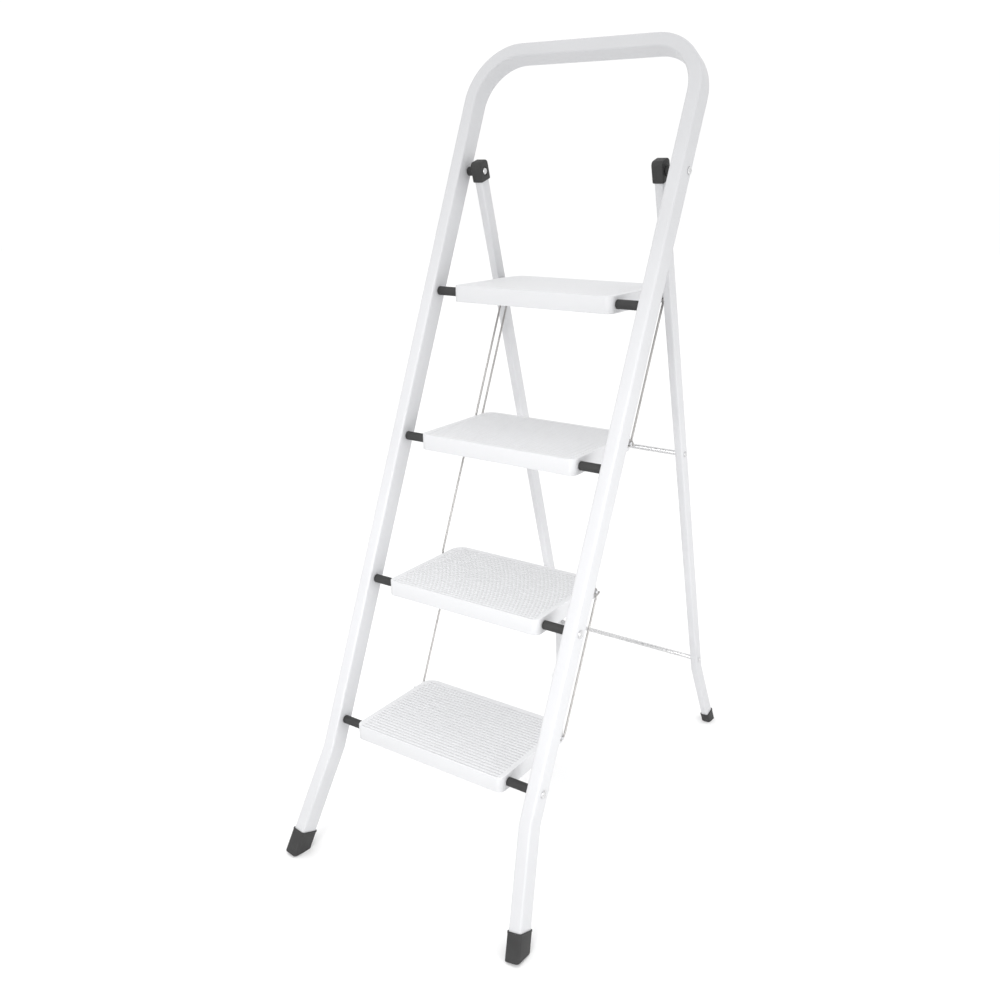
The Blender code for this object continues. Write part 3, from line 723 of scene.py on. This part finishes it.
def links():
    pitch = (AXLES[1] - AXLES[0]).length
    back = RAIL_UP.cross(X_AXIS)
    for lower, (first, second) in enumerate(zip(TREADS, TREADS[1:])):
        kind = "link_loop" if second == "platform" else "link_wire"
        points = link_points(pitch, LINK_FACING[lower], kind == "link_wire")
        rod = AXLES[lower] + ROD_OFFSET
        for label, side in SIDES.items():
            node = f"{kind}_{first}_{second}_{label}"
            base = rod + X_AXIS * (side * LINK_LANES[lower])
            path = [base + back * p.x + RAIL_UP * p.y for p in points]
            wire = wire_mesh(f"{node}_bent", path, kind == "link_loop")
            dress(wire, node, "zinc_plate")


def wire_mesh(name, path, around):
    """A round wire along a path in a plane square to X, with softened ends."""
    rings = []
    count = len(path)
    for i, point in enumerate(path):
        if around:
            before, after = path[i - 1], path[(i + 1) % count]
        else:
            before, after = path[max(i - 1, 0)], path[min(i + 1, count - 1)]
        along = (after - before).normalized()
        up = along.cross(X_AXIS)
        rings.append(round_ring(point, LINK_WIRE, X_AXIS, up, 16))
        if not around and i == 0:
            rings.insert(0, round_ring(point - along * TIP, TIP_RADIUS, X_AXIS, up, 16))
        elif not around and i == count - 1:
            rings.append(round_ring(point + along * TIP, TIP_RADIUS, X_AXIS, up, 16))
    return loft(name, rings, around)


# Treads


def outline(inset):
    """The tread's plan outline, drawn in by an inset, as (x, y) points counter-clockwise."""
    front_radius = TREAD_FRONT_CORNER - inset
    rear_radius = TREAD_REAR_CORNER - inset
    x, front, rear = TREAD_HALF - inset, -TREAD_FRONT + inset, TREAD_BACK - inset
    points = arc((x - rear_radius, rear - rear_radius), rear_radius, 0, 90, 8)
    points += arc((-x + rear_radius, rear - rear_radius), rear_radius, 90, 180, 8)
    points += arc((-x + front_radius, front + front_radius), front_radius, 180, 270, 6)
    points += arc((x - front_radius, front + front_radius), front_radius, 270, 360, 6)
    return points


def field_half(y):
    """Half the width of the ribbed field at y: a rounded rectangle inside the outline."""
    x = TREAD_HALF - FIELD_INSET
    rear_radius, front_radius = 0.015, 0.006
    past_rear = y - (TREAD_BACK - FIELD_INSET - rear_radius)
    past_front = FIELD_FRONT + front_radius - 0.003 - y
    if past_rear > 0:
        return x - rear_radius + math.sqrt(max(rear_radius**2 - past_rear**2, 0))
    if past_front > 0:
        return x - front_radius + math.sqrt(max(front_radius**2 - past_front**2, 0))
    return x


def groove_ring(y, half, inset, z, steps=5):
    """Outline of one groove: a slot with round ends."""
    radius = GROOVE_WIDTH / 2 - inset
    x = half - GROOVE_WIDTH / 2
    ring = arc((x, y), radius, -90, 90, steps) + arc((-x, y), radius, 90, 270, steps)
    return [Vector((p.x, p.y, z)) for p in ring]


def tread_mesh(name):
    """A moulded tread about its axle: ribbed top, soft edges, and a hollow underside."""
    shape = bmesh.new()
    top_round, lip = 0.0015, 0.0008

    def level(inset, z):
        return [Vector((p.x, p.y, z)) for p in outline(inset)]

    under = TREAD_TOP - TREAD_WALL
    rings = [
        level(TREAD_WALL + 0.0006, under),
        level(TREAD_WALL, under - 0.0008),
        level(TREAD_WALL, -TREAD_SKIRT + lip),
        level(TREAD_WALL - lip, -TREAD_SKIRT),
        level(lip, -TREAD_SKIRT),
        level(lip * 0.3, -TREAD_SKIRT + lip * 0.3),
        level(0, -TREAD_SKIRT + lip),
    ]
    for i in range(7):
        angle = math.pi / 2 * i / 6
        inset = top_round * (1 - math.cos(angle))
        rings.append(level(inset, TREAD_TOP - top_round * (1 - math.sin(angle))))
    rings.append(level(top_round + 0.0003, TREAD_TOP))
    loops = skin(shape, rings, caps=False)
    shape.faces.new(loops[0])
    hole_edges = loop_edges(shape, loops[-1])
    for number in range(GROOVES):
        y = FIELD_FRONT + RIB_PITCH * number
        half = field_half(y)
        slot = [groove_ring(y, half, inset, TREAD_TOP - depth) for inset, depth in GROOVE_PROFILE]
        groove = skin(shape, slot, caps=False)
        shape.faces.new(groove[-1])
        hole_edges += loop_edges(shape, groove[0])
    bmesh.ops.triangle_fill(
        shape, use_beauty=True, use_dissolve=False, edges=hole_edges, normal=(0, 0, 1)
    )
    return new_object(name, shape)


def loop_edges(shape, loop):
    return [shape.edges.get((loop[i - 1], vert)) for i, vert in enumerate(loop)]


def tread(name, axle):
    surface = tread_mesh(f"{name}_moulding")
    under = TREAD_TOP - TREAD_WALL
    floor = -TREAD_SKIRT + 0.0012
    half_rib = TREAD_WALL / 2
    reach_x = TREAD_HALF - TREAD_WALL / 2
    reach_y = (-TREAD_FRONT + TREAD_WALL / 2, TREAD_BACK - TREAD_WALL / 2)
    ribs = []
    for x in STIFFENERS_ALONG:
        low, high = (x - half_rib, reach_y[0], floor), (x + half_rib, reach_y[1], under + 0.001)
        ribs.append(block("stiffener", low, high))
    half_rib *= 0.8
    for y in STIFFENERS_ACROSS:
        low, high = (-reach_x, y - half_rib, floor + 0.006), (reach_x, y + half_rib, under + 0.001)
        ribs.append(block("stiffener", low, high))
    for rib in ribs[1:]:
        cut(ribs[0], rib, "UNION")
    cut(surface, ribs[0], "UNION")
    reach = TREAD_HALF + 0.01
    holes = [("hole", AXLE_RADIUS + GAP, Vector()), ("hole", ROD_RADIUS + GAP, ROD_OFFSET)]
    if name == "platform":
        bar = middle("slide_bar") - axle
        bar.x = 0
        clearance = SLIDE_BAR_RADIUS + 2 * GAP
        holes.append(("seat", clearance, bar))
    for label, radius, centre in holes:
        cut(surface, turned(label, [(-reach, radius), (reach, radius)], centre))
    if name == "platform":
        turn = Matrix.Translation(bar) @ Matrix.Rotation(SEAT_TURN, 4, "X")
        cut(surface, block("slot", (-reach, -clearance, -0.02), (reach, clearance, 0), turn))
    surface.data.transform(Matrix.Translation(axle))
    dress(surface, name, "moulded_white")


def main():
    for build in (powder_coat, moulded_white, moulded_black, zinc_plate, rivet_steel):
        material = build()
        MATERIALS[material.name] = material
    make_camera()
    make_light()
    make_floor()
    front_tube()
    rear_tubes()
    feet()
    axles_and_spacers()
    hinges()
    rear_bars()
    link_rods()
    links()
    for axle, name in zip(AXLES, TREADS):
        tread(name, axle)


main()
